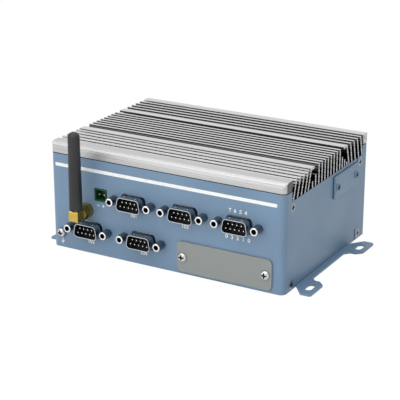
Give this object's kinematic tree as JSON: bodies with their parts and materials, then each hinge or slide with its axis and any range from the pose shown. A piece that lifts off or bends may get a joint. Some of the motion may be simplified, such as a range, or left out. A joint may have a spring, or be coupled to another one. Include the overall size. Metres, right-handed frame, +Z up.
{
  "type": "industrial computer",
  "caption": "Fanless box computer with a finned aluminium lid, serial ports with jackscrews on the front, a stub antenna, a blank plate and slotted mounting ears.",
  "frame": {"origin": "centre of the housing's footprint on the underside of the base plate", "axes": "+X to the right seen from the ports, +Y towards the rear panel, +Z up towards the finned lid"},
  "size_m": [0.175, 0.1246, 0.0776],
  "materials": {
    "housing_paint": "fine textured blue-grey powder coat",
    "base_paint": "fine textured blue-grey powder coat",
    "blank_plate_paint": "smooth mid-grey powder coat",
    "extruded_aluminium": "clear anodised extrusion",
    "block_aluminium": "milled",
    "screw_steel": "zinc plated",
    "painted_screws": "screws coloured to the housing",
    "shell_nickel": "nickel plated pressed steel",
    "jackscrew_nickel": "nickel plated turned steel",
    "port_insulator": "black glass filled polyester",
    "contact_gold": "gold plated",
    "terminal_green": "green polyamide",
    "antenna_brass": "gold plated brass",
    "antenna_sleeve": "black thermoplastic elastomer",
    "circuit_board": "green solder mask on glass laminate",
    "card_board": "green solder mask on glass laminate",
    "socket_black": "black moulding",
    "chip_epoxy": "black moulding compound",
    "pad_silicone": "soft silicone pad",
    "cell_steel": "polished",
    "post_brass": "nickel plated brass",
    "lead_jacket": "thin coaxial lead"
  },
  "bodies": {
    "root": {"wrap_cover": "housing_paint", "rear_panel": "housing_paint", "access_cover": "housing_paint", "base_plate": "base_paint", "heatsink": "extruded_aluminium", "expansion_cover": "blank_plate_paint", "wall_screws": "painted_screws", "expansion_cover_screws": "screw_steel", "access_cover_screws": "painted_screws", "earth_washer": "screw_steel", "earth_screw": "screw_steel", "jackscrews": "jackscrew_nickel", "power_housing": "terminal_green", "power_pins": "contact_gold", "antenna_jack": "antenna_brass", "antenna_lock_nut": "antenna_brass", "antenna_coupling_nut": "antenna_brass", "antenna_elbow": "antenna_brass", "antenna_sleeve": "antenna_sleeve", "upper_board": "circuit_board", "lower_board": "circuit_board", "lower_posts": "post_brass", "upper_posts": "post_brass", "board_screws": "screw_steel", "processor": "chip_epoxy", "thermal_pad": "pad_silicone", "heat_block": "block_aluminium", "memory_socket": "socket_black", "memory_module": "card_board", "storage_socket": "socket_black", "storage_card": "card_board", "radio_socket": "socket_black", "radio_card": "card_board", "cell_holder": "socket_black", "coin_cell": "cell_steel", "board_link": "socket_black", "port_controller": "chip_epoxy", "expansion_socket": "socket_black", "card_reader": "shell_nickel", "lan_ports": "shell_nickel", "usb_ports": "shell_nickel", "video_port": "shell_nickel", "antenna_lead": "lead_jacket", "port_1_shell": "shell_nickel", "port_1_insulator": "port_insulator", "port_1_pins": "contact_gold", "port_2_shell": "shell_nickel", "port_2_insulator": "port_insulator", "port_2_pins": "contact_gold", "port_3_shell": "shell_nickel", "port_3_insulator": "port_insulator", "port_3_pins": "contact_gold", "port_4_shell": "shell_nickel", "port_4_insulator": "port_insulator", "port_4_pins": "contact_gold", "port_5_shell": "shell_nickel", "port_5_insulator": "port_insulator", "port_5_pins": "contact_gold"}
  },
  "joints": []
}
